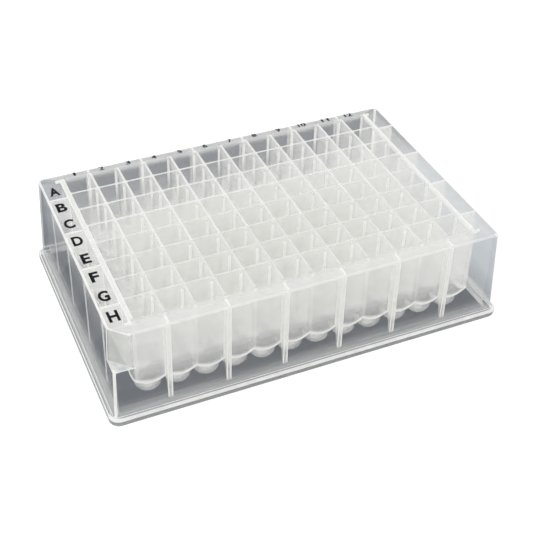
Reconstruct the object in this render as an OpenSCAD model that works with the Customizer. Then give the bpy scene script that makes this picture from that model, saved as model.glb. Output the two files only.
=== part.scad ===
// Deep-well plate, one moulding of clear polypropylene.
// Square wells with round cups below stand in one block. The block hangs from a deck, a skirt with
// a flange carries the deck, and thin ribs tie the block to the skirt.
// Frame: the origin is on the surface below the middle of the plate, X runs along the columns,
// Y runs towards the first row, and Z is up. All sizes are in millimetres.

/* [Wells] */
// Number of columns of wells along X
cols = 12; // [4:1:24]
// Number of rows of wells along Y
rows = 8; // [2:1:16]
// Distance between the centres of neighbouring wells
pitch = 9; // [7:0.1:12]
// Thickness of the wall between two wells
web_t = 0.7; // [0.5:0.05:1.2]
// Thickness of the outer wall round the well block
block_t = 0.9; // [0.6:0.05:1.5]

/* [Cups below the wells] */
// Clear gap between two neighbouring cups
cup_gap = 1; // [0.6:0.1:1.6]
// Thickness of the cup wall and of the cone above it
cup_t = 0.8; // [0.5:0.05:1.2]
// How much larger the radius of the cup's round end is than the radius of the cup
dome_extra = 0.4; // [0.2:0.05:2]
// Height of the lowest point of the cups
cup_z = 1.05; // [0.5:0.05:2]
// Height at which the sides of the block turn in towards the cups
shoulder_z = 7.1; // [6.5:0.1:12]

/* [Deck] */
// Height of the plate, from the surface to the rims of the wells
plate_h = 32.4; // [24:0.1:45]
// How far the rims of the wells stand above the deck
rim_rise = 1.2; // [0.6:0.1:2]
// Thickness of the deck
deck_t = 1.2; // [0.8:0.1:2]
// Width of the deck from the block to its edge, at the two ends
deck_end = 6.75; // [5:0.05:12]
// Width of the deck from the block to its edge, along the two sides
deck_side = 3.55; // [3:0.05:12]
// Softening of the top edges of the deck and the flange
edge_soft = 0.5; // [0.2:0.1:0.8]

/* [Skirt and flange] */
// Thickness of the skirt just below the deck
skirt_t = 1; // [0.8:0.1:1.6]
// How far the outside of the skirt leans out on its way down to the flange
skirt_lean = 1; // [0.4:0.1:2]
// Corner radius of the deck and the skirt
skirt_r = 1.2; // [1:0.1:4]
// Height of the flange
flange_h = 2.4; // [2:0.1:5]
// How far the flange stands out past the skirt, at the two ends
flange_end = 1.58; // [1:0.01:4]
// How far the flange stands out past the skirt, along the two sides
flange_side = 1.64; // [1:0.01:4]
// Corner radius of the flange
flange_r = 3.18; // [1.5:0.01:8]
// Height of the recess that takes the deck of a plate stacked below
recess_h = 1.4; // [0.6:0.1:1.6]
// Clearance round the deck of a plate stacked below
stack_gap = 0.3; // [0.1:0.05:0.6]

/* [Corner notch] */
// Length that the notch takes off each edge of the deck, at the last row's first corner
notch = 5; // [3:0.1:6.5]
// Height of the ledge at the bottom of the notch
ledge_z = 19; // [12:0.5:21]

/* [Ribs and nubs] */
// Thickness of the ribs between the block and the skirt
rib_t = 0.8; // [0.6:0.1:1.2]
// Depth of a rib at its lower end, measured from the skirt
rib_foot = 1.2; // [0.6:0.1:2]
// Length of the locating nubs on the deck at the corners of the block
nub_l = 1.9; // [1:0.1:3]
// Width of the nubs
nub_w = 0.7; // [0.5:0.1:1.2]
// Height of the nubs above the deck
nub_h = 0.6; // [0.3:0.1:1]

/* [Hidden] */
$fn = 96;

// How far one piece is sunk into another, so that the two are one solid
bite = 0.3;
// Facets round the corners that are hulled
hull_fn = 32;

// Half sizes of the block, the deck, the skirt's foot, the flange and the hollow inside the skirt
block_x = (cols * pitch - web_t) / 2 + block_t;
block_y = (rows * pitch - web_t) / 2 + block_t;
deck_x = block_x + deck_end;
deck_y = block_y + deck_side;
foot_x = deck_x + skirt_lean;
foot_y = deck_y + skirt_lean;
flange_x = foot_x + flange_end;
flange_y = foot_y + flange_side;
inner_x = deck_x - skirt_t;
inner_y = deck_y - skirt_t;

// Heights of the deck's top and underside
deck_z = plate_h - rim_rise;
under_z = deck_z - deck_t;

// One well and its cup: mouth width, distance from the axis to the block's outer face, radii
mouth = pitch - web_t;
edge = (pitch - web_t) / 2 + block_t;
cup_r = (pitch - cup_gap) / 2;
bore_r = cup_r - cup_t;
dome_r = cup_r + dome_extra;

// The cone under the block ends where it has reached the corner cells' outer corners
cone_r = edge * sqrt(2) + 0.05;
join_z = shoulder_z + cone_r - edge;
// The cone inside a well ends past the corners of its mouth
bore_cone_r = mouth / sqrt(2) + 0.05;
cone_lift = cup_t * sqrt(2);
// Height at which two neighbouring cones meet on the block's outer face
cusp_z = shoulder_z + sqrt(edge * edge + pitch * pitch / 4) - edge;

// Place of a column's centre or of a row's centre
function place(i, count) = (i - (count - 1) / 2) * pitch;
// Height of the 45 degree cone at the radius r, lifted by the wall for the inside
function cone_z(r, lift) = shoulder_z - edge + r + lift;
// Height at which a round end of radius dome meets the straight cup of radius r
function dome_top(r, dome, z) = z + dome - sqrt(dome * dome - r * r);

// A flat slab with round corners, from z0 to z1
module slab(x, y, r, z0, z1) {
    for (sx = [-1, 1], sy = [-1, 1])
        translate([sx * (x - r), sy * (y - r), z0])
            cylinder(r = r, h = z1 - z0, $fn = hull_fn);
}

// Half section of a cup: round end, straight wall, 45 degree cone, then straight up to z_top
module cup_section(r, dome, z, lift, r_top, z_top) {
    z_dome = dome_top(r, dome, z);
    intersection() {
        translate([0, z + dome])
            circle(r = dome);
        square([r, z_dome]);
    }
    polygon([
        [0, z_dome], [r, z_dome], [r, cone_z(r, lift)], [r_top, cone_z(r_top, lift)], [r_top, z_top], [0, z_top]
    ]);
}

// The inside of one well
module well() {
    z_top = plate_h + 1;
    intersection() {
        rotate_extrude()
            cup_section(bore_r, dome_r - cup_t, cup_z + cup_t, cone_lift, bore_cone_r, z_top);
        translate([-mouth / 2, -mouth / 2, 0])
            cube([mouth, mouth, z_top + 1]);
    }
}

// The outside of one cup, cut square to its own cell. Cells on the rim reach the block's outer face
module cup(i, j) {
    x0 = i == 0 ? edge : pitch / 2;
    x1 = i == cols - 1 ? edge : pitch / 2;
    y0 = j == 0 ? edge : pitch / 2;
    y1 = j == rows - 1 ? edge : pitch / 2;
    intersection() {
        rotate_extrude()
            cup_section(cup_r, dome_r, cup_z, 0, cone_r, join_z);
        translate([-x0, -y0, 0])
            cube([x0 + x1, y0 + y1, join_z]);
    }
}

// The well block with its cups, still solid
module block() {
    translate([-block_x, -block_y, join_z])
        cube([2 * block_x, 2 * block_y, plate_h - join_z]);
    for (i = [0:cols - 1], j = [0:rows - 1])
        translate([place(i, cols), place(j, rows), 0])
            cup(i, j);
}

// The triangle that is missing from the deck's corner, moved inwards by t
module notch_plan(t) {
    reach = 5;
    leg = notch + t * sqrt(2);
    translate([-deck_x, -deck_y])
        polygon([[-reach, -reach], [leg + reach, -reach], [-reach, leg + reach]]);
}

// Deck, skirt and flange: the outer shape less the hollow, the stacking recess and the notch
module shell() {
    difference() {
        union() {
            hull() {
                slab(deck_x - edge_soft, deck_y - edge_soft, skirt_r - edge_soft, deck_z - edge_soft, deck_z);
                slab(deck_x, deck_y, skirt_r, deck_z - deck_t, deck_z - edge_soft);
                slab(foot_x, foot_y, skirt_r, flange_h / 2, flange_h);
            }
            hull() {
                slab(flange_x, flange_y, flange_r, 0, flange_h - edge_soft);
                slab(flange_x - edge_soft, flange_y - edge_soft, flange_r - edge_soft, 0, flange_h);
            }
        }
        difference() {
            translate([-inner_x, -inner_y, -1])
                cube([2 * inner_x, 2 * inner_y, under_z + 1]);
            translate([0, 0, ledge_z - skirt_t])
                linear_extrude(height = plate_h)
                    notch_plan(skirt_t);
        }
        translate([-deck_x - stack_gap, -deck_y - stack_gap, -1])
            cube([2 * (deck_x + stack_gap), 2 * (deck_y + stack_gap), recess_h + 1]);
        translate([0, 0, ledge_z])
            linear_extrude(height = plate_h)
                notch_plan(0);
    }
}

// One rib across a gap between the block and the skirt, standing in the XZ plane
module rib(gap) {
    rotate([90, 0, 0])
        linear_extrude(height = rib_t, center = true)
            polygon([
                [-bite, cusp_z], [0, cusp_z], [gap - rib_foot, flange_h], [gap + bite, flange_h],
                [gap + bite, under_z + bite], [-bite, under_z + bite]
            ]);
}

// A rib at the end of every second wall between wells, on all four sides
module ribs() {
    for (side = [-1, 1]) {
        for (i = [1:2:cols - 1])
            translate([place(i, cols) - pitch / 2, side * block_y, 0])
                rotate([0, 0, side * 90])
                    rib(deck_side - skirt_t);
        for (j = [1:2:rows - 1])
            translate([side * block_x, place(j, rows) - pitch / 2, 0])
                rotate([0, 0, 90 - side * 90])
                    rib(deck_end - skirt_t);
    }
}

// Small bars on the deck that run out from the corners of the block
module nubs() {
    for (sx = [-1, 1], sy = [-1, 1])
        translate([sx * (block_x + (nub_l - bite) / 2), sy * (block_y - nub_w / 2), deck_z + (nub_h - bite) / 2])
            cube([nub_l + bite, nub_w, nub_h + bite], center = true);
}

module plate() {
    color("whitesmoke", 0.75)
        difference() {
            union() {
                shell();
                block();
                ribs();
                nubs();
            }
            for (i = [0:cols - 1], j = [0:rows - 1])
                translate([place(i, cols), place(j, rows), 0])
                    well();
        }
}

plate();
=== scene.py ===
import math

import bmesh
import bpy
from mathutils import Matrix, Vector


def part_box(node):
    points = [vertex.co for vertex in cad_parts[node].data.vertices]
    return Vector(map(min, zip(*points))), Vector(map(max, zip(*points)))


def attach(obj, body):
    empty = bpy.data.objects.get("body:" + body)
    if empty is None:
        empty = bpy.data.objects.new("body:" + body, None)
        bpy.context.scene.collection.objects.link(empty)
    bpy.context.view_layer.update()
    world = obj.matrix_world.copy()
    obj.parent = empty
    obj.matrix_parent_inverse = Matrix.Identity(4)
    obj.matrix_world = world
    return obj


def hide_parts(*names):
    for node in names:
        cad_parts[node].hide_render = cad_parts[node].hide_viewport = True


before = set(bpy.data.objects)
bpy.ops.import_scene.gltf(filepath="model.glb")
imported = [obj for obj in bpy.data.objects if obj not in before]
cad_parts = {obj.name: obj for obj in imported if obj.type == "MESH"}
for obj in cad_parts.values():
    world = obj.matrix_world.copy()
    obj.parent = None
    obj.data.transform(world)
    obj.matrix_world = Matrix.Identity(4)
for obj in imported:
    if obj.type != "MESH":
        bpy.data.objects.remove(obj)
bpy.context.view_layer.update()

# ------------------------------------------------------------------------------------------------
# Deck, skirt and flange
# The upper rim, the leaning outer wall and the foot of the plate, moulded in clear polypropylene.
# One closed wall runs round the well block, and one corner of the deck is notched off.

MM = 0.001
WELD = 0.004 * MM                             # points closer than this become one
plate_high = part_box("plate")[1]
plate_h = plate_high.z / MM
flange_x, flange_y = plate_high.x / MM, plate_high.y / MM
flange_h, flange_r = 2.4, 3.18
flange_out_x, flange_out_y = 1.58, 1.64       # how far the flange stands out from the skirt
foot_x, foot_y = flange_x - flange_out_x, flange_y - flange_out_y
lean_out = 1.0                                # how far the skirt leans out from deck to flange
deck_x, deck_y = foot_x - lean_out, foot_y - lean_out
rim_h, deck_t, wall_t = 1.2, 1.2, 1.0
deck_z = plate_h - rim_h
under_z = deck_z - deck_t
inner_x, inner_y = deck_x - wall_t, deck_y - wall_t
recess_gap, recess_h = 0.3, 1.4               # the recess takes the deck of a plate stacked below
recess_x, recess_y = deck_x + recess_gap, deck_y + recess_gap
skirt_r, inner_r = 1.2, 0.5
block_x, block_y = 54.55, 36.55
step_w = 0.45                                 # strip of the deck along the well block
notch_cut, ledge_z = 5.0, 19.0
sill_h = 0.3                                  # strip of the skirt below the notch's ledge
notch_reach = deck_x + deck_y - notch_cut
notch_inside = notch_reach - wall_t * math.sqrt(2)
foot_bend, flange_bend, root_bend, inner_bend = 0.25, 0.7, 0.4, 0.4
foot_strip = 0.05                             # bright strip above the flange's rounded lower edge
EDGE_BEND = 0.6                               # radius of the deck's rounded edge
CORNER_STEPS = 10


def srgb(code):
    """The linear colour of a hex code."""
    channels = [int(code[i:i + 2], 16) / 255 for i in (1, 3, 5)]
    return [c / 12.92 if c <= 0.04045 else ((c + 0.055) / 1.055) ** 2.4 for c in channels] + [1.0]


def add_node(tree, kind, inputs=None, **settings):
    """Adds a node with its settings. An input is given a plain value or another node's output."""
    made = tree.nodes.new(kind)
    for name, value in settings.items():
        setattr(made, name, value)
    for name, value in (inputs or {}).items():
        if isinstance(value, bpy.types.NodeSocket):
            tree.links.new(value, made.inputs[name])
        else:
            made.inputs[name].default_value = value
    return made


CLOUD_SIZE = 3.85        # mm from one faint cloud in the plastic to the next


def natural_polypropylene(
    name, haze, sheen=0.35, glow=0.5, flow=(1, 1, 1), vary=0.08, tone="#FEFEFD",
):
    """Natural polypropylene, moulded against polished steel. It is clear with a milky haze, which grows
    with the thickness looked through, so each part of the plate has its own haze. Where that changes
    from the foot of the plate to its top, the haze is a list of heights, each with its haze. The glow
    is the share of the haze that light from behind gives, and the sheen is the strength of the gloss.
    Faint clouds, which the flow of the melt leaves and stretches, vary the haze by the share given."""
    material = bpy.data.materials.new(name)
    material.use_nodes = True
    tree = material.node_tree
    tree.nodes.clear()
    place = add_node(tree, "ShaderNodeTexCoord")
    stretched = add_node(tree, "ShaderNodeMapping", {"Vector": place.outputs["Object"], "Scale": flow})
    cloud = add_node(tree, "ShaderNodeTexNoise", {
        "Vector": stretched.outputs[0], "Scale": 1 / (CLOUD_SIZE * MM), "Detail": 2.0,
    })
    cloudiness = add_node(tree, "ShaderNodeMapRange", {
        "Value": cloud.outputs["Fac"], "From Min": 0.3, "From Max": 0.7,
        "To Min": 1 - vary, "To Max": 1 + vary,
    })
    stops = haze if isinstance(haze, list) else [(0.0, haze), (plate_h, haze)]
    across = add_node(tree, "ShaderNodeSeparateXYZ", {"Vector": place.outputs["Object"]})
    height = add_node(tree, "ShaderNodeMath", {
        0: across.outputs["Z"], 1: plate_h * MM,
    }, operation="DIVIDE")
    by_height = add_node(tree, "ShaderNodeValToRGB", {"Fac": height.outputs[0]})
    by_height.color_ramp.interpolation = "EASE"
    ends = by_height.color_ramp.elements
    for index, (stop_z, stop_haze) in enumerate(stops):
        stop = ends[index] if index < 2 else ends.new(1.0)
        stop.position = stop_z / plate_h
        stop.color = (stop_haze, stop_haze, stop_haze, 1.0)
    amount = add_node(tree, "ShaderNodeMath", {
        0: cloudiness.outputs[0], 1: by_height.outputs["Color"],
    }, operation="MULTIPLY")
    clear = add_node(tree, "ShaderNodeBsdfTransparent")
    front = add_node(tree, "ShaderNodeBsdfDiffuse", {"Color": srgb(tone)})
    back = add_node(tree, "ShaderNodeBsdfTranslucent", {"Color": srgb(tone)})
    milk = add_node(tree, "ShaderNodeMixShader", {0: glow, 1: front.outputs[0], 2: back.outputs[0]})
    body = add_node(tree, "ShaderNodeMixShader", {
        0: amount.outputs[0], 1: clear.outputs[0], 2: milk.outputs[0],
    })
    gloss = add_node(tree, "ShaderNodeBsdfGlossy", {"Roughness": 0.22})
    grazing = add_node(tree, "ShaderNodeFresnel", {"IOR": 1.49})
    side = add_node(tree, "ShaderNodeNewGeometry")
    outer = add_node(tree, "ShaderNodeMath", {
        0: sheen, 1: side.outputs["Backfacing"],
    }, operation="SUBTRACT")
    share = add_node(tree, "ShaderNodeMath", {
        0: grazing.outputs[0], 1: outer.outputs[0],
    }, operation="MULTIPLY", use_clamp=True)
    skin = add_node(tree, "ShaderNodeMixShader", {
        0: share.outputs[0], 1: body.outputs[0], 2: gloss.outputs[0],
    })
    add_node(tree, "ShaderNodeOutputMaterial", {"Surface": skin.outputs[0]})
    return material


# The outer walls are thin and clear, so the wells and ribs show through. They are milky only at
# the foot, where the skirt runs into the flange, and carry level streaks left by the melt. The end
# walls are a little milkier than the long ones.
FULL_GLOSS = 1.0
LEVEL_STREAKS = (0.15, 0.15, 4)
clear_wall = natural_polypropylene(
    "polypropylene_clear_wall", [(2.2, 0.26), (6.5, 0.06)],
    sheen=FULL_GLOSS, flow=LEVEL_STREAKS, vary=0.3,
)
end_wall = natural_polypropylene(
    "polypropylene_end_wall", [(2.2, 0.40), (9.0, 0.14), (18.0, 0.08), (30.0, 0.14)],
    sheen=FULL_GLOSS, flow=LEVEL_STREAKS, vary=0.2,
)
back_wall = natural_polypropylene(
    "polypropylene_back_wall", [(2.2, 0.26), (6.5, 0.10)],
    sheen=FULL_GLOSS, flow=LEVEL_STREAKS, vary=0.2,
)
# The deck is flat and evenly milky, and clearer at the end that carries the letters.
deck_skin = natural_polypropylene("polypropylene_deck", 0.36)
end_deck = natural_polypropylene("polypropylene_end_deck", 0.18)
# Rounded edges are looked at along their skin, so they show as nearly white lines, partly milky
# plastic and partly painted highlight, fainter where an edge is softer.
edge_milk_and_highlight = natural_polypropylene("polypropylene_bright_edge", 0.90, glow=0.25)
soft_edge_milk_and_highlight = natural_polypropylene("polypropylene_soft_edge", 0.55, glow=0.4)
# The flange is clear from the side and milky on top, most of all at the lettered end.
flange_side = natural_polypropylene("polypropylene_flange_side", 0.18)
flange_top = natural_polypropylene("polypropylene_flange_top", 0.30, glow=0.3)
end_flange_top = natural_polypropylene("polypropylene_end_flange_top", 0.54, glow=0.3)
# The notch's wall stands in front of the wells and is a dull white, and its ledge is cloudy.
notch_wall = natural_polypropylene("polypropylene_notch_wall", 0.72, glow=0.6, tone="#E4E6E2")
ledge_skin = natural_polypropylene("polypropylene_ledge", 0.75, glow=0.3, vary=0.3)


SHARP_FROM = 35.0        # degrees: edges that turn more than this stay sharp


def finish_piece(mesh, name, materials):
    """Makes the piece's object, smooth but for its sharp edges."""
    for material in materials:
        mesh.materials.append(material)
    mesh.polygons.foreach_set("use_smooth", [True] * len(mesh.polygons))
    mesh.set_sharp_from_angle(angle=math.radians(SHARP_FROM))
    piece = bpy.data.objects.new(name, mesh)
    bpy.context.scene.collection.objects.link(piece)
    return piece


def skirt_ring(half_x, half_y, radius, z, reach=None):
    """One level line round the plate. With a reach, the corner by the last row is cut off at 45 degrees
    where the two distances from the middle add up to it."""
    cut = notch_reach if reach is None else reach
    turn = radius * math.tan(math.radians(22.5))
    ring = []
    for quadrant in range(4):
        sign_x = 1 if quadrant in (0, 3) else -1
        sign_y = 1 if quadrant in (0, 1) else -1
        centres = [(sign_x * (half_x - radius), sign_y * (half_y - radius))] * 2
        side_y = -min(cut - half_x - turn, half_y - radius)
        side_x = -min(cut - half_y - turn, half_x - radius)
        if quadrant == 2 and reach is not None:
            centres = [(radius - half_x, side_y), (side_x, radius - half_y)]
        if quadrant == 2:
            ring.append((-half_x, side_y, z))
        for step in range(CORNER_STEPS):
            centre_x, centre_y = centres[step * 2 // CORNER_STEPS]
            share = step / (CORNER_STEPS - 1)
            if quadrant == 2 and reach is not None:
                half = CORNER_STEPS // 2
                share = 0.5 * (step % half) / (half - 1) + (0.5 if step >= half else 0.0)
            angle = math.radians(90 * (quadrant + share))
            ring.append((centre_x + radius * math.cos(angle), centre_y + radius * math.sin(angle), z))
        if quadrant == 2:
            ring.append((side_x, -half_y, z))
    return ring


def arc(centre_x, centre_y, centre_z, bend, start, end, steps=5):
    """Places along a rounded edge: half sizes and height, from one angle to another."""
    places = []
    for step in range(steps):
        angle = math.radians(start + (end - start) * step / (steps - 1))
        reach = bend * math.cos(angle)
        places.append((centre_x + reach, centre_y + reach, centre_z + bend * math.sin(angle)))
    return places


# The finishes of the skirt's strips, in the order of its materials. The last two have no material of
# their own: wall_finish gives their faces one of the others.
(
    WALL, END_WALL, DECK, EDGE, SIDE, TOP, NOTCH, LEDGE, SOFT, BACK, END_DECK, END_TOP, SILL, STEP,
) = range(14)
profile = []          # half_x, half_y, radius, z, reach, finish of the strip up to the next line


def line(places, radius, finish, reach=None, last=None):
    """Adds level lines to the profile. The strip after the last of them can have its own finish."""
    for half_x, half_y, z in places:
        profile.append((half_x, half_y, radius, z, reach, finish))
    if last is not None:
        profile[-1] = profile[-1][:5] + (last,)


lean = lean_out / (deck_z - EDGE_BEND - flange_h)
ledge_x = foot_x - lean * (ledge_z - flange_h)
ledge_y = foot_y - lean * (ledge_z - flange_h)
line(arc(flange_x - foot_bend, flange_y - foot_bend, foot_bend, foot_bend, -90, 0, 3), flange_r, EDGE)
line([(flange_x, flange_y, foot_bend + foot_strip)], flange_r, SIDE)
line(
    arc(flange_x - flange_bend, flange_y - flange_bend, flange_h - flange_bend, flange_bend, 0, 90),
    flange_r, EDGE, last=TOP,
)
root = arc(foot_x + root_bend, foot_y + root_bend, flange_h + root_bend, root_bend, 270, 180, 4)
line(root[:1], skirt_r + root_bend, EDGE)
line(root[1:], skirt_r, WALL)
line([(ledge_x + sill_h * lean, ledge_y + sill_h * lean, ledge_z - sill_h)], skirt_r, SILL)
line([(ledge_x, ledge_y, ledge_z)], skirt_r, LEDGE)
line([(ledge_x, ledge_y, ledge_z)], skirt_r, WALL, notch_reach)
line(
    arc(deck_x - EDGE_BEND, deck_y - EDGE_BEND, deck_z - EDGE_BEND, EDGE_BEND, 0, 90),
    skirt_r, EDGE, notch_reach, last=DECK,
)
line([(block_x + step_w, block_y + step_w, deck_z)], inner_r, STEP, notch_reach)
OUTSIDE = len(profile)
sunk, hole_r = 0.3, 0.05       # the deck's hole is hidden in the well block, and nearly square
line([(block_x - sunk, block_y - sunk, deck_z)], hole_r, WALL, notch_reach)
line([(block_x - sunk, block_y - sunk, under_z)], hole_r, WALL, notch_inside)
line(
    arc(inner_x - inner_bend, inner_y - inner_bend, under_z - inner_bend, inner_bend, 90, 0, 4),
    inner_r, WALL, notch_inside,
)
line([(inner_x, inner_y, ledge_z - wall_t)], inner_r, WALL, notch_inside)
line([(inner_x, inner_y, ledge_z - wall_t)], inner_r, WALL)
line([(inner_x, inner_y, recess_h)], inner_r, TOP)
line([(recess_x, recess_y, recess_h)], inner_r, SIDE)
line([(recess_x, recess_y, 0.0)], inner_r, SIDE)

# Faces round a ring: ten points make each corner, and one more stands on each side of the notched one.
LETTERED_END = (2 * CORNER_STEPS - 1, 2 * CORNER_STEPS)
BOTH_ENDS = (*LETTERED_END, 4 * CORNER_STEPS + 1)
FRONT_SIDE = (3 * CORNER_STEPS, 3 * CORNER_STEPS + 1)
BACK_SIDE = CORNER_STEPS - 1
CORNER_STARTS = (0, CORNER_STEPS, 2 * CORNER_STEPS + 1, 3 * CORNER_STEPS + 2)
CORNER_MIDDLE = range(2, 7)
NOTCH_FACES = range(2 * CORNER_STEPS + 1, 3 * CORNER_STEPS + 1)
NOTCH_FLAT = 2 * CORNER_STEPS + CORNER_STEPS // 2
NOTCH_EDGE = (NOTCH_FLAT - 3, NOTCH_FLAT - 2)
FLANGE_ROUND_ENDS = (4, 7)     # first and last strip of the flange's rounded upper edge


def wall_finish(kind, index, k):
    """The finish of one face of the skirt: its corners carry a painted highlight, and so do the notch's
    edges.
    """
    notched = profile[index][4] is not None
    if kind == SILL:
        return EDGE if k in NOTCH_FACES or k == LETTERED_END[-1] else WALL
    if kind == EDGE and index in FLANGE_ROUND_ENDS and k in BOTH_ENDS:
        return SIDE
    if kind == EDGE and notched and k in FRONT_SIDE:
        return SOFT
    if kind == STEP:
        return EDGE if k in BOTH_ENDS else DECK
    if kind == DECK and k == BACK_SIDE:
        return SOFT
    if kind in (DECK, TOP) and k in LETTERED_END:
        return END_DECK if kind == DECK else END_TOP
    if kind != WALL:
        return kind
    if index < OUTSIDE and notched and k in NOTCH_FACES:
        if k == NOTCH_FLAT:
            return NOTCH
        return EDGE if k in NOTCH_EDGE else WALL
    # The middle of each rounded corner takes the edge finish, a painted highlight.
    if index < OUTSIDE and any(k - start in CORNER_MIDDLE for start in CORNER_STARTS):
        return EDGE
    if k == BACK_SIDE:
        return BACK
    return END_WALL if k in BOTH_ENDS else WALL


shell = bmesh.new()
rings = []
for half_x, half_y, radius, z, reach, finish in profile:
    points = skirt_ring(half_x, half_y, radius, z, reach)
    rings.append([shell.verts.new(Vector(point) * MM) for point in points])
for index, ring in enumerate(rings):
    following = rings[(index + 1) % len(rings)]
    for k in range(len(ring)):
        after = (k + 1) % len(ring)
        face = shell.faces.new((ring[k], ring[after], following[after], following[k]))
        face.material_index = wall_finish(profile[index][5], index, k)
bmesh.ops.remove_doubles(shell, verts=shell.verts, dist=WELD)
bmesh.ops.dissolve_degenerate(shell, edges=shell.edges, dist=WELD)
bmesh.ops.recalc_face_normals(shell, faces=shell.faces)
shell_mesh = bpy.data.meshes.new("skirt")
shell.to_mesh(shell_mesh)
shell.free()
skirt = finish_piece(shell_mesh, "skirt", [
    clear_wall, end_wall, deck_skin, edge_milk_and_highlight, flange_side, flange_top, notch_wall, ledge_skin,
    soft_edge_milk_and_highlight, back_wall, end_deck, end_flange_top,
])
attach(skirt, "root")
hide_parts("plate")

# ------------------------------------------------------------------------------------------------
# Well block
# The square wells with round cups below, moulded in the same shot. One cell of the block is built
# once, and a geometry tree sets it on the grid, welds the cells and gives each part its finish.

COLUMNS, ROWS, PITCH = 12, 8, 9.0
mouth_half, cell_half = 4.15, PITCH / 2
corner_r, corner_highlight_w = 0.45, 0.26            # each well's far corner also carries a narrow strip of painted highlight
cup_r, cup_ball, cup_bottom = 4.0, 4.4, 1.05
bore_r, bore_ball, bore_bottom = 3.2, 3.6, 1.85
inner_lift, outer_lift = 3.181, 2.05     # height of the 45 degree cones, less the radius
SIDE_STEPS, BEND_STEPS, DOME_STEPS = 6, 4, 5
CLOSE = 0.1                              # mm: a point this near to a wall lies on it
CELL_WELD = 0.02                         # mm: points of two cells this near to each other become one
LINING, RIM, CUP, BEND, BORE, WEB = range(6)


def cell_outline():
    """For each point round a well's mouth: its place, the matching place on the cell's border, and the
    part of the lining that follows it."""
    flat = mouth_half - corner_r
    slide = flat * cell_half / mouth_half
    outline = []
    for quadrant in range(4):
        turned = Matrix.Rotation(math.radians(90 * quadrant), 2)
        points = []
        for step in range(SIDE_STEPS):
            along = (step - SIDE_STEPS / 2) * (flat - corner_highlight_w) / (SIDE_STEPS / 2 - 1) if step > 0 else -flat
            highlight_strip = quadrant == 1 and step == 0
            points.append(((mouth_half, along), (cell_half, along * cell_half / mouth_half), highlight_strip))
        for step in range(BEND_STEPS):
            angle = math.radians(90 * step / BEND_STEPS)
            bend = (flat + corner_r * math.cos(angle), flat + corner_r * math.sin(angle))
            before_corner = step * 2 <= BEND_STEPS
            share = step * 2 / BEND_STEPS if before_corner else 2 - step * 2 / BEND_STEPS
            far = slide + (cell_half - slide) * share
            border = (cell_half, far) if before_corner else (far, cell_half)
            points.append((bend, border, quadrant == 0))
        # The far corner and the strip beside it take the finish that carries the painted highlight.
        for inner, border, highlighted in points:
            kind = BEND if highlighted else (WEB, LINING)[quadrant % 2]
            outline.append((turned @ Vector(inner), turned @ Vector(border), kind))
    return outline


def on_circle(points, radius, z):
    """The points drawn in, or out, to a circle."""
    return [(*(p.normalized() * radius), z) for p in points]


def round_end(radius, ball, bottom):
    """Radius and height of the levels of a round end, from its wall down to just above the bottom."""
    centre = bottom + ball
    turns = [math.asin(radius / ball) * (1 - step / DOME_STEPS) for step in range(DOME_STEPS)]
    return [(ball * math.sin(turn), centre - ball * math.cos(turn)) for turn in turns]


outline = cell_outline()
inner_points = [inner for inner, border, kind in outline]
border_points = [border for inner, border, kind in outline]
lining_kinds = [kind for inner, border, kind in outline]
cup_levels = [(cup_r, cup_r + outer_lift)] + round_end(cup_r, cup_ball, cup_bottom)
bore_levels = [(bore_r, bore_r + inner_lift)] + round_end(bore_r, bore_ball, bore_bottom)
outside = [[(p.x, p.y, p.length + outer_lift) for p in border_points]]
outside += [on_circle(border_points, radius, z) for radius, z in cup_levels]
inside = [[(p.x, p.y, p.length + inner_lift) for p in inner_points]]
inside += [on_circle(inner_points, radius, z) for radius, z in bore_levels]

cell = bmesh.new()
part = cell.faces.layers.int.new("part")


def strip(first, second, kinds):
    """Faces between two closed lines of points."""
    for k in range(len(first)):
        after = (k + 1) % len(first)
        face = cell.faces.new((first[k], first[after], second[after], second[k]))
        face[part] = kinds[k]


def stack(lines, kind, bottom):
    """Strips down a list of closed lines, and a fan that closes the last one at its lowest point."""
    verts = [[cell.verts.new(Vector(point) * MM) for point in one] for one in lines]
    for upper, lower in zip(verts, verts[1:]):
        strip(upper, lower, [kind] * len(upper))
    pole = cell.verts.new(Vector((0, 0, bottom)) * MM)
    for k in range(len(verts[-1])):
        face = cell.faces.new((verts[-1][k], verts[-1][(k + 1) % len(verts[-1])], pole))
        face[part] = kind
    return verts[0]


border_line = [cell.verts.new(Vector((p.x, p.y, plate_h)) * MM) for p in border_points]
mouth_line = [cell.verts.new(Vector((p.x, p.y, plate_h)) * MM) for p in inner_points]
strip(border_line, mouth_line, [RIM] * len(outline))
lining_foot = stack(inside, BORE, bore_bottom)
strip(mouth_line, lining_foot, lining_kinds)
stack(outside, CUP, cup_bottom)
cell_mesh = bpy.data.meshes.new("well_cell")
cell.to_mesh(cell_mesh)
cell.free()

# The walls between rows are milkiest at mid height and clear near the rims. The webs between
# columns keep some haze up to the rims. Their haze is a soft white, and they are too close
# together for much gloss.
FAINT_GLOSS = 0.1
WELL_TONE = "#FBFBFA"
WALL_HAZE = [(8, 0.04), (13, 0.34), (18, 0.46), (22, 0.15), (26, 0.05)]
WEB_HAZE = [(8, 0.06), (13, 0.34), (18, 0.44), (22, 0.28), (30, 0.30)]
well_wall = natural_polypropylene(
    "polypropylene_well_wall", WALL_HAZE, sheen=FAINT_GLOSS, tone=WELL_TONE,
)
well_web = natural_polypropylene(
    "polypropylene_well_web", WEB_HAZE, sheen=FAINT_GLOSS, tone=WELL_TONE,
)
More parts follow.
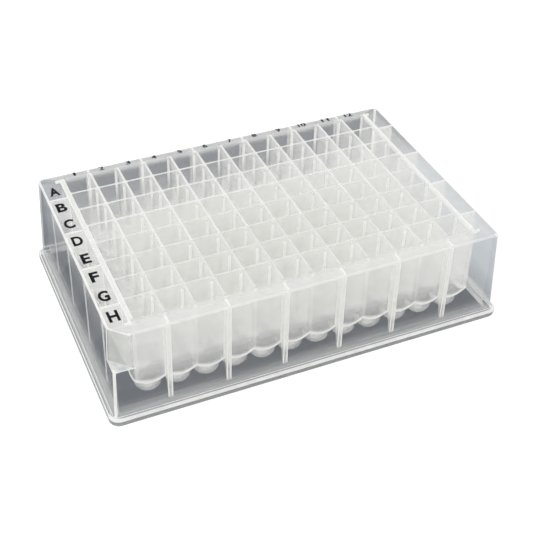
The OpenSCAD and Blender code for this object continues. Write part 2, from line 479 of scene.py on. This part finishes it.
# Past the first column, the back walls of the wells in the front rows are milky all the way up, a
# painted light. In the back rows the webs are clearer. Webs and walls are clearest in the first two
# columns, from the middle rows to the back, a painted shade.
painted_light_lining = natural_polypropylene(
    "polypropylene_milky_lining", [(8, 0.04), (13, 0.36), (18, 0.50), (22, 0.40), (28, 0.33)],
    sheen=FAINT_GLOSS, tone="#F7F7F4",
)
clear_web = natural_polypropylene(
    "polypropylene_clear_web", [(8, 0.06), (13, 0.34), (18, 0.38), (22, 0.19), (26, 0.20), (30, 0.36)],
    sheen=FAINT_GLOSS, tone=WELL_TONE,
)
shaded_web = natural_polypropylene(
    "polypropylene_thin_web", [(8, 0.06), (13, 0.28), (18, 0.28), (22, 0.11), (26, 0.12), (30, 0.34)],
    sheen=FAINT_GLOSS, tone=WELL_TONE,
)
shaded_wall = natural_polypropylene(
    "polypropylene_thin_wall", [(8, 0.04), (13, 0.26), (18, 0.30), (22, 0.10), (26, 0.05)],
    sheen=FAINT_GLOSS, tone=WELL_TONE,
)
# The block's outermost linings turn to a milky band where they stand above the deck.
back_lining = natural_polypropylene(
    "polypropylene_back_lining",
    [(8, 0.04), (13, 0.26), (18, 0.34), (22, 0.13), (26, 0.05), (30.8, 0.05), (31.2, 0.28)],
    sheen=FAINT_GLOSS,
)
end_lining = natural_polypropylene(
    "polypropylene_end_lining", WEB_HAZE + [(30.8, 0.30), (31.2, 0.50)], sheen=FAINT_GLOSS,
)
# The rims are moulded sharp, and show as a thin white grid that is partly painted highlight. They are
# softer in the front rows, and nearly clear along the long outer walls.
# The rims' near-white haze is partly painted highlight.
well_rim = natural_polypropylene("polypropylene_well_rim", 0.85, glow=0.4)
clear_rim = natural_polypropylene("polypropylene_clear_rim", 0.15)
soft_rim = natural_polypropylene("polypropylene_soft_rim", 0.60)
# The thin cups and bores are clear enough to see the floor through. The corner of each well that
# is furthest from the camera carries a painted highlight, a soft white line up to the rim.
well_cup = natural_polypropylene("polypropylene_cup", 0.27)
well_corner_highlight = natural_polypropylene(
    "polypropylene_well_corner",
    [(13, 0.34), (20, 0.40), (27, 0.82), (30.6, 0.82), (31.4, 0.55)], sheen=FAINT_GLOSS, glow=0.2,
)
well_bore = natural_polypropylene("polypropylene_bore", 0.15, sheen=FAINT_GLOSS)
# The block's outside is nearly clear at the back, and turns milky above the cups at the front. It
# is milkiest where the webs between the wells run into it, and its arched lower edge is white, partly
# milky plastic and partly painted highlight.
back_side = natural_polypropylene("polypropylene_block_back", 0.03)
block_side = natural_polypropylene(
    "polypropylene_block_side", [(9, 0.05), (12, 0.15), (16, 0.42)], tone=WELL_TONE,
)
block_end = natural_polypropylene(
    "polypropylene_block_end", [(9, 0.05), (16, 0.28), (30.6, 0.28), (31.3, 0.75)], glow=0.4,
)
web_band = natural_polypropylene("polypropylene_web_band", [(9, 0.30), (16, 0.52)])
web_shade = natural_polypropylene("polypropylene_web_shade", [(9, 0.18), (16, 0.45)], tone=WELL_TONE)
arch_edge = natural_polypropylene("polypropylene_arch_edge", 0.95, glow=0.25)
arch_haze = natural_polypropylene("polypropylene_arch_haze", 0.40)


def set_modifier(piece, tree, values):
    """Puts the geometry tree on the piece, with its inputs set by their identifiers."""
    modifier = piece.modifiers.new(tree.name, "NODES")
    modifier.node_group = tree
    for item in tree.interface.items_tree:
        if item.item_type == "SOCKET" and item.in_out == "INPUT" and item.name in values:
            modifier[item.identifier] = values[item.name]


def baked_mesh(piece):
    """The plain mesh of the evaluated piece, and the piece itself is removed."""
    graph = bpy.context.evaluated_depsgraph_get()
    mesh = bpy.data.meshes.new_from_object(piece.evaluated_get(graph), depsgraph=graph)
    bpy.data.objects.remove(piece)
    return mesh


def new_tree(name, sizes):
    """An empty geometry tree with a geometry input and output, and one input for each size."""
    tree = bpy.data.node_groups.new(name, "GeometryNodeTree")
    tree.interface.new_socket("Geometry", in_out="INPUT", socket_type="NodeSocketGeometry")
    for label, kind in sizes:
        tree.interface.new_socket(label, in_out="INPUT", socket_type=kind)
    tree.interface.new_socket("Geometry", in_out="OUTPUT", socket_type="NodeSocketGeometry")
    return tree


def set_materials(tree, shape, labels, sources):
    """Gives the faces of each part number their material, and ends the tree."""
    kind_of = add_node(tree, "GeometryNodeInputNamedAttribute", {"Name": "part"}, data_type="INT")
    for number, label in enumerate(labels):
        chosen = add_node(tree, "FunctionNodeCompare", {
            2: kind_of.outputs["Attribute"], 3: number,
        }, data_type="INT", operation="EQUAL")
        shape = add_node(tree, "GeometryNodeSetMaterial", {
            "Geometry": shape, "Selection": chosen.outputs[0], "Material": sources[label],
        }).outputs[0]
    add_node(tree, "NodeGroupOutput", {"Geometry": shape})


WELL_PARTS = ("Wall", "Rim", "Cup", "Corner", "Bore", "Web")
well_tree = new_tree("well_grid", [
    ("Columns", "NodeSocketInt"), ("Rows", "NodeSocketInt"), ("Pitch", "NodeSocketFloat"),
    *((label, "NodeSocketMaterial") for label in WELL_PARTS),
])
given = add_node(well_tree, "NodeGroupInput").outputs
spans = {}
for label in ("Columns", "Rows"):
    gaps = add_node(well_tree, "ShaderNodeMath", {0: given[label], 1: 1.0}, operation="SUBTRACT")
    spans[label] = add_node(well_tree, "ShaderNodeMath", {
        0: gaps.outputs[0], 1: given["Pitch"],
    }, operation="MULTIPLY")
grid = add_node(well_tree, "GeometryNodeMeshGrid", {
    "Size X": spans["Columns"].outputs[0], "Size Y": spans["Rows"].outputs[0],
    "Vertices X": given["Columns"], "Vertices Y": given["Rows"],
})
wells = add_node(well_tree, "GeometryNodeInstanceOnPoints", {
    "Points": grid.outputs["Mesh"], "Instance": given["Geometry"],
})
solid_wells = add_node(well_tree, "GeometryNodeRealizeInstances", {"Geometry": wells.outputs[0]})
welded = add_node(well_tree, "GeometryNodeMergeByDistance", {
    "Geometry": solid_wells.outputs[0], "Distance": CELL_WELD * MM,
})
set_materials(well_tree, welded.outputs[0], WELL_PARTS, given)

cell_mesh.materials.append(well_wall)
seed = bpy.data.objects.new("well_seed", cell_mesh)
bpy.context.scene.collection.objects.link(seed)
set_modifier(seed, well_tree, {
    "Columns": COLUMNS, "Rows": ROWS, "Pitch": PITCH * MM,
    "Wall": well_wall, "Rim": well_rim, "Cup": well_cup, "Corner": well_corner_highlight, "Bore": well_bore,
    "Web": well_web,
})
block_mesh = baked_mesh(seed)

# The block's outer walls are thicker than the walls between wells: its border moves out to them.
inner_edge_x, inner_edge_y = COLUMNS * PITCH / 2, ROWS * PITCH / 2
for material in (
    block_side, block_end, back_side, clear_rim, arch_edge, arch_haze, web_band, web_shade, back_lining,
    end_lining, painted_light_lining, clear_web, shaded_web, shaded_wall, soft_rim,
):
    block_mesh.materials.append(material)
finishes = list(block_mesh.materials)
block = bmesh.new()
block.from_mesh(block_mesh)
open_edges = [edge for edge in block.edges if len(edge.link_faces) == 1]
top_edges = [edge for edge in open_edges if min(v.co.z for v in edge.verts) > (plate_h - CLOSE) * MM]
low_edges = [edge for edge in open_edges if edge not in set(top_edges)]


def extrude(edges, material):
    """Extrudes an open border of the block. Gives the new points and the new border."""
    made = bmesh.ops.extrude_edge_only(block, edges=edges)["geom"]
    for item in made:
        if isinstance(item, bmesh.types.BMFace):
            item.material_index = finishes.index(material)
    points = [item for item in made if isinstance(item, bmesh.types.BMVert)]
    return points, [item for item in made if isinstance(item, bmesh.types.BMEdge)]


def grow(edges, material):
    """Extrudes a border of the block outwards to its outer walls."""
    points, border = extrude(edges, material)
    for vert in points:
        x, y, z = vert.co / MM
        if abs(x) > inner_edge_x - CLOSE:
            x = math.copysign(block_x, x)
        if abs(y) > inner_edge_y - CLOSE:
            y = math.copysign(block_y, y)
        column = min(max(round(x / PITCH - 0.5), -COLUMNS // 2), COLUMNS // 2 - 1) + 0.5
        row = min(max(round(y / PITCH - 0.5), -ROWS // 2), ROWS // 2 - 1) + 0.5
        if z < plate_h - CLOSE:
            z = math.hypot(x - column * PITCH, y - row * PITCH) + outer_lift
        vert.co = Vector((x, y, z)) * MM
    return border


def lip(edges, height, material):
    """Extrudes a border straight up, as a band along the foot of the outer walls."""
    points, border = extrude(edges, material)
    for vert in points:
        vert.co.z += height * MM
    return border


arch_edge_h, arch_haze_h = 1.0, 0.6
top_line = grow(top_edges, well_rim)
arches = lip(grow(low_edges, arch_edge), arch_edge_h, arch_edge)
border_edges = top_line + lip(arches, arch_haze_h, arch_haze)
for face in bmesh.ops.bridge_loops(block, edges=border_edges)["faces"]:
    face.material_index = finishes.index(block_side)
bmesh.ops.remove_doubles(block, verts=block.verts, dist=WELD)
bmesh.ops.recalc_face_normals(block, faces=block.faces)

wall_half = cell_half - mouth_half
band_half, shade_half = 0.6, 1.5         # how far a web's bright band and its shade reach either way
FACING = 0.9                             # how squarely a face looks one way, as a share of its normal


def block_finish(face):
    """The finish of one face of the block. Most faces keep the one that they have. The rounded floors
    of the wells look up as the rims do, and take their softer finish in the front rows."""
    x, y, z = face.calc_center_median() / MM
    upward = face.normal.z > FACING
    had = finishes[face.material_index]
    from_web = abs(x - round(x / PITCH) * PITCH)
    if had == block_side and y < CLOSE - block_y and from_web < shade_half:
        return web_band if from_web < band_half else web_shade
    if had == block_side and abs(x) > block_x - CLOSE:
        return block_end
    if face.normal.y > FACING and y > block_y - CLOSE:
        return back_side
    if upward and abs(y) > inner_edge_y - wall_half:
        return clear_rim
    soft_before = 0.5 * PITCH if from_web > wall_half else -PITCH
    if upward and y < soft_before and abs(x) < inner_edge_x - wall_t / 2:
        return soft_rim
    # The lighter copy of the wall in the front rows is painted light.
    if had == well_wall and face.normal.y < -FACING and y < PITCH and x > PITCH - inner_edge_x:
        return painted_light_lining
    if had == well_wall and y > inner_edge_y - wall_t:
        return back_lining
    # The clearer copies in the first two columns are painted shade.
    if had == well_wall and y > -0.5 * PITCH and x < -4 * PITCH:
        return shaded_wall
    if had == well_web and y > -PITCH and x < -3.5 * PITCH:
        return shaded_web
    if had == well_web and x > inner_edge_x - wall_t:
        return end_lining
    if had == well_web and y > PITCH:
        return clear_web
    return had


for face in block.faces:
    face.material_index = finishes.index(block_finish(face))
block.to_mesh(block_mesh)
block.free()
well_block = finish_piece(block_mesh, "well_block", [])
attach(well_block, "root")
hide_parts("plate")

# ------------------------------------------------------------------------------------------------
# Ribs
# Thin webs that tie the block to the skirt at every second wall, moulded with them. Each hangs from
# the deck, and below the block its free edge tapers back to the skirt.

rib_t, rib_foot, bite = 0.8, 1.2, 0.3
rib_proud = 0.015                    # the rib's end just shows on the deck
side_fillet, end_fillet = 0.35, 0.12
fillet_sunk, hollow = 0.05, 0.3      # how deep a fillet is sunk in, and how far its middle stands out
outer_cell_half = block_x - (COLUMNS - 1) / 2 * PITCH
cusp_z = outer_lift + math.hypot(outer_cell_half, cell_half)     # where two cups' arches meet
FACE, END, FILLET = range(3)

# The ribs are clear at the foot and milky higher up, and the back ones are the clearest. Their
# thick spots, at the deck and in the fillets, show white, partly milky plastic and partly painted
# highlight.
rib_web = natural_polypropylene("polypropylene_rib_face", [(6, 0.28), (12, 0.70)])
end_rib_web = natural_polypropylene("polypropylene_end_rib_face", [(18, 0.05), (29, 0.45)])
back_rib_web = natural_polypropylene("polypropylene_back_rib", [(10, 0.08), (29, 0.22)], glow=0.4)
rib_end = natural_polypropylene("polypropylene_rib_end", 0.80, glow=0.3)
rib_fillet = natural_polypropylene("polypropylene_rib_fillet", 0.85, glow=0.3)


def rib_mesh(name, start, end, fillet):
    """One rib that runs from start out to end along -Y, centred on x = 0, with a fillet down each of
    the four corners where it meets the walls."""
    rib_top = deck_z + rib_proud
    edge = [
        (start - bite, rib_top), (end + bite, rib_top), (end + bite, flange_h),
        (end - rib_foot, flange_h), (start, cusp_z), (start - bite, cusp_z),
    ]
    rib = bmesh.new()
    kind = rib.faces.layers.int.new("part")
    left = [rib.verts.new(Vector((-rib_t / 2, -y, z)) * MM) for y, z in edge]
    right = [rib.verts.new(Vector((rib_t / 2, -y, z)) * MM) for y, z in edge]
    rib.faces.new(left)
    rib.faces.new(right)
    for k in range(len(edge)):
        after = (k + 1) % len(edge)
        face = rib.faces.new((left[k], left[after], right[after], right[k]))
        face[kind] = END if k == 0 else FACE
    for side in (-1, 1):
        for root_y, inward, low in ((end, -1, flange_h), (start, 1, cusp_z)):
            corner = [
                (side * (rib_t / 2 - fillet_sunk), root_y - fillet_sunk * inward),
                (side * (rib_t / 2 + fillet), root_y - fillet_sunk * inward),
                (side * (rib_t / 2 + hollow * fillet), root_y + hollow * fillet * inward),
                (side * (rib_t / 2 - fillet_sunk), root_y + fillet * inward),
            ]
            foot, head = [
                [rib.verts.new(Vector((x, -y, z)) * MM) for x, y in corner] for z in (low, under_z)
            ]
            faces = [rib.faces.new(foot), rib.faces.new(head)]
            for k in range(4):
                after = (k + 1) % 4
                faces.append(rib.faces.new((foot[k], foot[after], head[after], head[k])))
            for face in faces:
                face[kind] = FILLET
    bmesh.ops.recalc_face_normals(rib, faces=rib.faces)
    mesh = bpy.data.meshes.new(name)
    rib.to_mesh(mesh)
    rib.free()
    return mesh


RIB_PARTS = ("Face", "End", "Fillet")
rib_tree = new_tree("rib_rows", [
    ("Count", "NodeSocketInt"), ("Spacing", "NodeSocketFloat"), ("Turn", "NodeSocketFloat"),
    *((label, "NodeSocketMaterial") for label in RIB_PARTS),
])
given = add_node(rib_tree, "NodeGroupInput").outputs
gaps = add_node(rib_tree, "ShaderNodeMath", {0: given["Count"], 1: 1.0}, operation="SUBTRACT")
span = add_node(rib_tree, "ShaderNodeMath", {
    0: gaps.outputs[0], 1: given["Spacing"],
}, operation="MULTIPLY")
first = add_node(rib_tree, "ShaderNodeMath", {0: span.outputs[0], 1: -0.5}, operation="MULTIPLY")
first_place = add_node(rib_tree, "ShaderNodeCombineXYZ", {"X": first.outputs[0]})
step_along = add_node(rib_tree, "ShaderNodeCombineXYZ", {"X": given["Spacing"]})
row_points = add_node(rib_tree, "GeometryNodeMeshLine", {
    "Count": given["Count"], "Start Location": first_place.outputs[0], "Offset": step_along.outputs[0],
}, mode="OFFSET")
row = add_node(rib_tree, "GeometryNodeInstanceOnPoints", {
    "Points": row_points.outputs[0], "Instance": given["Geometry"],
})
row_solid = add_node(rib_tree, "GeometryNodeRealizeInstances", {"Geometry": row.outputs[0]})
# Two points at the middle, one for each side of the plate: the second row is half a turn on.
side_points = add_node(rib_tree, "GeometryNodeMeshLine", {
    "Count": 2, "Offset": (0.0, 0.0, 0.0),
}, mode="OFFSET")
number = add_node(rib_tree, "GeometryNodeInputIndex")
half_turn = add_node(rib_tree, "ShaderNodeMath", {
    0: number.outputs[0], 1: math.pi, 2: given["Turn"],
}, operation="MULTIPLY_ADD")
turn = add_node(rib_tree, "ShaderNodeCombineXYZ", {"Z": half_turn.outputs[0]})
both = add_node(rib_tree, "GeometryNodeInstanceOnPoints", {
    "Points": side_points.outputs[0], "Instance": row_solid.outputs[0], "Rotation": turn.outputs[0],
})
both_solid = add_node(rib_tree, "GeometryNodeRealizeInstances", {"Geometry": both.outputs[0]})
set_materials(rib_tree, both_solid.outputs[0], RIB_PARTS, given)

for name, start, end, fillet, count, turned, web in (
    ("side_ribs", block_y, inner_y, side_fillet, COLUMNS // 2, 0.0, rib_web),
    ("end_ribs", block_x, inner_x, end_fillet, ROWS // 2, math.pi / 2, end_rib_web),
):
    rib_seed = bpy.data.objects.new(name + "_seed", rib_mesh(name, start, end, fillet))
    rib_seed.data.materials.append(web)
    bpy.context.scene.collection.objects.link(rib_seed)
    set_modifier(rib_seed, rib_tree, {
        "Count": count, "Spacing": 2 * PITCH * MM, "Turn": turned,
        "Face": web, "End": rib_end, "Fillet": rib_fillet,
    })
    ribs = finish_piece(baked_mesh(rib_seed), name, [])
    ribs.data.materials.append(back_rib_web)
    for face in ribs.data.polygons:
        if name == "side_ribs" and face.center.y > 0 and face.normal.z < FACING:
            face.material_index = len(ribs.data.materials) - 1
    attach(ribs, "root")
    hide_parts("plate")

# ------------------------------------------------------------------------------------------------
# Locating nubs
# Four short bars on the deck, at the corners of the block, moulded with it. They end in rounded
# white edges like those of the deck, partly painted highlight.

nub_l, nub_w, nub_h, nub_bend = 1.9, 0.7, 0.6, 0.15
nubs = bmesh.new()
for side_x in (-1, 1):
    for side_y in (-1, 1):
        middle = Matrix.Translation((
            side_x * (block_x + (nub_l - bite) / 2),
            side_y * (block_y - nub_w / 2),
            deck_z + (nub_h - bite) / 2,
        ))
        stretch = Matrix.Diagonal((nub_l + bite, nub_w, nub_h + bite, 1.0))
        bmesh.ops.create_cube(nubs, size=1.0, matrix=Matrix.Scale(MM, 4) @ middle @ stretch)
bmesh.ops.bevel(nubs, geom=nubs.edges, offset=nub_bend * MM, segments=2, affect="EDGES")
nub_mesh = bpy.data.meshes.new("nubs")
nubs.to_mesh(nub_mesh)
nubs.free()
nub_piece = finish_piece(nub_mesh, "nubs", [edge_milk_and_highlight])
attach(nub_piece, "root")
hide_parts("plate")

# ------------------------------------------------------------------------------------------------
# Printed coordinates
# Row letters and column numbers in black ink, pad printed on the deck in a plain bold face. The
# ink is a thin matt film, and its black is slightly uneven where the pad left less of it.

SPECKLE_SIZE = 0.333                      # mm
film_z = 0.02                             # the print lies this far above the deck
letter_h, letter_wide, letter_narrow = 4.6, 0.69, 0.58
number_h, digit_wide, digit_one, two_digits = 2.4, 0.66, 0.34, 1.85
letters_x, numbers_y = -58.1, 38.85
letter_weight, number_weight = 0.037, 0.04
ink = bpy.data.materials.new("pad_print_ink")
ink.use_nodes = True
ink.node_tree.nodes.clear()
place = add_node(ink.node_tree, "ShaderNodeTexCoord")
speckle = add_node(ink.node_tree, "ShaderNodeTexNoise", {
    "Vector": place.outputs["Object"], "Scale": 1 / (SPECKLE_SIZE * MM),
})
thin = add_node(ink.node_tree, "ShaderNodeMix", {
    0: speckle.outputs["Fac"], 6: srgb("#101113"), 7: srgb("#232528"),
}, data_type="RGBA")
ink_film = add_node(ink.node_tree, "ShaderNodeBsdfPrincipled", {
    "Base Color": thin.outputs[2], "Roughness": 0.5,
})
add_node(ink.node_tree, "ShaderNodeOutputMaterial", {"Surface": ink_film.outputs[0]})


def printed(words, name, height, weight):
    """A flat mesh of the given words. Each word comes with its width and the place of its centre. It
    follows the rounded edge of the deck."""
    merged = bmesh.new()
    for word, width, centre_x, centre_y in words:
        text = bpy.data.curves.new(name, "FONT")
        text.body = word
        text.size = 1.0
        text.offset = weight
        text.resolution_u = 6
        holder = bpy.data.objects.new(name, text)
        bpy.context.scene.collection.objects.link(holder)
        mesh = baked_mesh(holder)
        low = Vector(map(min, *(v.co for v in mesh.vertices)))
        high = Vector(map(max, *(v.co for v in mesh.vertices)))
        spread = width / (high.x - low.x)
        scale = height / (high.y - low.y)
        middle = (low + high) / 2
        for vert in mesh.vertices:
            x = (vert.co.x - middle.x) * spread + centre_x
            y = (vert.co.y - middle.y) * scale + centre_y
            vert.co = Vector((x, y, deck_z + film_z))
        merged.from_mesh(mesh)
        bpy.data.meshes.remove(mesh)
    flat_y = deck_y - EDGE_BEND
    for bend_line in arc(0, flat_y, 0, EDGE_BEND, 0, 90):
        bmesh.ops.triangulate(merged, faces=merged.faces[:])
        everything = merged.verts[:] + merged.edges[:] + merged.faces[:]
        bmesh.ops.bisect_plane(
            merged, geom=everything, plane_co=(0, bend_line[1], 0), plane_no=(0, 1, 0), dist=1e-6,
        )
    for vert in merged.verts:
        past_flat = max(0.0, vert.co.y - flat_y)
        vert.co.z -= EDGE_BEND - math.sqrt(EDGE_BEND ** 2 - past_flat ** 2)
        vert.co *= MM
    result = bpy.data.meshes.new(name)
    merged.to_mesh(result)
    merged.free()
    return result


row_words = []
for k, letter in enumerate("ABCDEFGH"):
    width = letter_h * (letter_narrow if letter in "EF" else letter_wide)
    row_words.append((letter, width, letters_x, ((ROWS - 1) / 2 - k) * PITCH))
column_words = []
for k in range(COLUMNS):
    width = number_h * (digit_wide if k > 0 else digit_one) * (two_digits if k >= 9 else 1.0)
    column_words.append((str(k + 1), width, (k - (COLUMNS - 1) / 2) * PITCH, numbers_y))
for name, words, height, weight in (
    ("row_letters", row_words, letter_h, letter_weight),
    ("column_numbers", column_words, number_h, number_weight),
):
    marks = finish_piece(printed(words, name, height, weight), name, [ink])
    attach(marks, "root")

# ------------------------------------------------------------------------------------------------
# Studio
# A pale floor, even light from all round and a large soft lamp above, and the camera. Floor and
# surroundings are white to a direct look, and painted a mid grey shade where they show through the plate.

STUDIO_LIGHT = 0.95
FLOOR_LIFT = 0.55                         # glow that brings the floor up to the white around it
SHADE_GREY = srgb("#5B616A")
PAINTED_LIGHT_GREY = srgb("#BAC2C9")
WHITE = srgb("#FFFFFF")
# The floor's painted shade fades to a painted light grey between these distances from the plate's middle,
# in mm.
END_FADE, BACK_FADE, CORNER_FADE = (60, 75), (62, 40), (-40, -52)
CORNER_LIGHT = 0.28                       # the lettered end's share of the painted light grey


def straight_and_through(tree):
    """Two switches: 1 where the camera looks straight at the surface, with no clear wall between, and
    1 for every ray but soft light's, which is to find the surface white."""
    path = add_node(tree, "ShaderNodeLightPath")
    clear = add_node(tree, "ShaderNodeMath", {
        0: path.outputs["Transparent Depth"], 1: 0.5,
    }, operation="LESS_THAN")
    straight = add_node(tree, "ShaderNodeMath", {
        0: path.outputs["Is Camera Ray"], 1: clear.outputs[0],
    }, operation="MULTIPLY")
    through = add_node(tree, "ShaderNodeMath", {
        0: 1.0, 1: path.outputs["Is Diffuse Ray"],
    }, operation="SUBTRACT")
    return straight.outputs[0], through.outputs[0]


# The floor is a matt white sheet. Through the plate it is painted a grey shade, with painted light past
# the end without letters, and a little painted light behind the back corner at the lettered end.
floor_paint = bpy.data.materials.new("floor_paint")
floor_paint.use_nodes = True
tree = floor_paint.node_tree
tree.nodes.clear()
straight, through = straight_and_through(tree)
pale = add_node(tree, "ShaderNodeBsdfDiffuse", {"Color": srgb("#EDEDED")})
place = add_node(tree, "ShaderNodeTexCoord")
across = add_node(tree, "ShaderNodeSeparateXYZ", {"Vector": place.outputs["Object"]})
past_end = add_node(tree, "ShaderNodeMapRange", {
    "Value": across.outputs["X"], "From Min": END_FADE[0] * MM, "From Max": END_FADE[1] * MM,
}, interpolation_type="SMOOTHSTEP")
before_back = add_node(tree, "ShaderNodeMapRange", {
    "Value": across.outputs["Y"], "From Min": BACK_FADE[0] * MM, "From Max": BACK_FADE[1] * MM,
}, interpolation_type="SMOOTHSTEP")
behind = add_node(tree, "ShaderNodeMath", {0: 1.0, 1: before_back.outputs[0]}, operation="SUBTRACT")
lettered_end = add_node(tree, "ShaderNodeMapRange", {
    "Value": across.outputs["X"], "From Min": CORNER_FADE[0] * MM, "From Max": CORNER_FADE[1] * MM,
    "To Max": CORNER_LIGHT,
}, interpolation_type="SMOOTHSTEP")
back_corner = add_node(tree, "ShaderNodeMath", {
    0: lettered_end.outputs[0], 1: behind.outputs[0],
}, operation="MULTIPLY")
# Painted light past the far end and behind the back corner.
painted_light = add_node(tree, "ShaderNodeMath", {
    0: past_end.outputs[0], 1: before_back.outputs[0], 2: back_corner.outputs[0],
}, operation="MULTIPLY_ADD")
floor_shade_and_light = add_node(tree, "ShaderNodeMix", {
    0: painted_light.outputs[0], 6: SHADE_GREY, 7: PAINTED_LIGHT_GREY,
}, data_type="RGBA")
grey = add_node(tree, "ShaderNodeBsdfDiffuse", {"Color": floor_shade_and_light.outputs[2]})
white = add_node(tree, "ShaderNodeBsdfDiffuse", {"Color": srgb("#CBCBCB")})
lift = add_node(tree, "ShaderNodeEmission", {"Strength": FLOOR_LIFT})
shown = add_node(tree, "ShaderNodeAddShader", {0: white.outputs[0], 1: lift.outputs[0]})
floor_behind = add_node(tree, "ShaderNodeMixShader", {0: through, 1: pale.outputs[0], 2: grey.outputs[0]})
floor_mix = add_node(tree, "ShaderNodeMixShader", {
    0: straight, 1: floor_behind.outputs[0], 2: shown.outputs[0],
})
add_node(tree, "ShaderNodeOutputMaterial", {"Surface": floor_mix.outputs[0]})

floor_half, floor_gap = 4.0, 0.0001       # metres
floor_mesh = bpy.data.meshes.new("floor")
floor_mesh.from_pydata([
    (-floor_half, -floor_half, 0), (floor_half, -floor_half, 0),
    (floor_half, floor_half, 0), (-floor_half, floor_half, 0),
], [], [(0, 1, 2, 3)])
floor_mesh.materials.append(floor_paint)
floor = bpy.data.objects.new("floor", floor_mesh)
floor.location.z = -floor_gap
bpy.context.scene.collection.objects.link(floor)

world = bpy.data.worlds.new("studio")
bpy.context.scene.world = world
world.use_nodes = True
tree = world.node_tree
tree.nodes.clear()
straight, through = straight_and_through(tree)
surround = add_node(tree, "ShaderNodeBackground", {"Color": WHITE, "Strength": STUDIO_LIGHT})
# Seen through the plate and in its gloss, the surroundings are painted the grey shade.
grey = add_node(tree, "ShaderNodeBackground", {"Color": SHADE_GREY})
backdrop = add_node(tree, "ShaderNodeBackground", {"Color": WHITE})
world_behind = add_node(tree, "ShaderNodeMixShader", {
    0: through, 1: surround.outputs[0], 2: grey.outputs[0],
})
world_mix = add_node(tree, "ShaderNodeMixShader", {
    0: straight, 1: world_behind.outputs[0], 2: backdrop.outputs[0],
})
add_node(tree, "ShaderNodeOutputWorld", {"Surface": world_mix.outputs[0]})

lamp_place = Vector((-0.5, -0.1, 0.9))
lamp = bpy.data.lights.new("key", "AREA")
lamp.size = 0.6
lamp.energy = 1.1
key = bpy.data.objects.new("key", lamp)
key.location = lamp_place
key.rotation_euler = (-lamp_place).to_track_quat("-Z", "Y").to_euler()
bpy.context.scene.collection.objects.link(key)

camera = bpy.data.objects.new("camera", bpy.data.cameras.new("camera"))
camera.data.sensor_width = 36.0
camera.data.lens = 74.12
camera.data.shift_y = -0.127
camera.location = Vector((-113.7, -253.5, 234.8)) * MM
aim = Vector((11.6, 21.6, 16.0)) * MM
facing = (aim - camera.location).to_track_quat("-Z", "Y").to_matrix()
camera.rotation_euler = (facing @ Matrix.Rotation(math.radians(1.56), 3, "Z")).to_euler()
bpy.context.scene.collection.objects.link(camera)
bpy.context.scene.camera = camera

scene = bpy.context.scene
scene.view_settings.view_transform = "Standard"
# Light passes dozens of clear walls on its way through the plate.
scene.cycles.transparent_max_bounces = 96
scene.cycles.max_bounces = 32
scene.cycles.transmission_bounces = 32
scene.cycles.diffuse_bounces = 24
